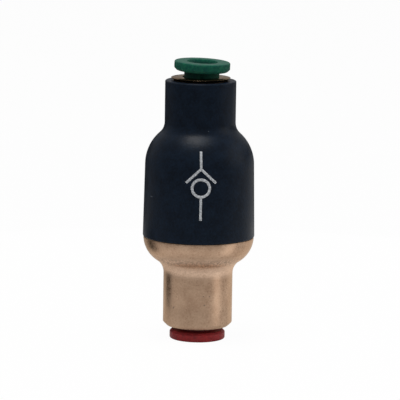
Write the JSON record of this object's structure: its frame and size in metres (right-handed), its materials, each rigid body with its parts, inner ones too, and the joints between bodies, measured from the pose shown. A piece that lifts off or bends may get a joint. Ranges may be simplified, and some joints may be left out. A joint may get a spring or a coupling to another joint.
{
  "type": "inline non-return valve",
  "caption": "Straight pneumatic non-return valve with a push-in tube socket and release button at each end and a sprung poppet inside.",
  "frame": {"origin": "centre of the outlet release button's outer face, on the valve's axis", "axes": "+Z along the axis from the outlet to the inlet, -Y out of the side that carries the printed symbol, +X to that side's right"},
  "size_m": [0.0166, 0.0166, 0.0415],
  "materials": {
    "black_polymer": "moulded, satin",
    "plated_brass": "turned and nickel-plated, warm tint",
    "green_polymer": "moulded, satin",
    "red_polymer": "moulded, satin",
    "spring_steel": "stamped or drawn, bright",
    "acetal": "moulded, natural",
    "nitrile_rubber": "moulded, dull"
  },
  "bodies": {
    "valve_body": {"upper_body": "black_polymer", "lower_body": "plated_brass", "inlet_collar": "plated_brass", "outlet_collar": "plated_brass", "inlet_grip_ring": "spring_steel", "outlet_grip_ring": "spring_steel", "inlet_thrust_ring": "acetal", "outlet_thrust_ring": "acetal", "inlet_tube_seal": "nitrile_rubber", "outlet_tube_seal": "nitrile_rubber", "body_seal": "nitrile_rubber", "spring_guide": "plated_brass", "spring": "spring_steel"},
    "inlet_button": {"inlet_release_button": "green_polymer"},
    "outlet_button": {"outlet_release_button": "red_polymer"},
    "poppet": {"poppet_stem": "plated_brass", "poppet_seal": "nitrile_rubber", "poppet_nose": "plated_brass"}
  },
  "joints": [
    {"name": "inlet_press", "type": "slide", "parent": "valve_body", "child": "inlet_button", "axis": [0, 0, -1], "range_m": [0, 0.0009], "stiffness_N_per_m": 2000, "springref_m": -0.00025, "deforming": ["inlet_grip_ring"]},
    {"name": "outlet_press", "type": "slide", "parent": "valve_body", "child": "outlet_button", "axis": [0, 0, 1], "range_m": [0, 0.0009], "stiffness_N_per_m": 2000, "springref_m": -0.00025, "deforming": ["outlet_grip_ring"]},
    {"name": "poppet_lift", "type": "slide", "parent": "valve_body", "child": "poppet", "axis": [0, 0, -1], "range_m": [0, 0.0022], "stiffness_N_per_m": 280, "springref_m": -0.0004, "deforming": ["spring"]}
  ]
}
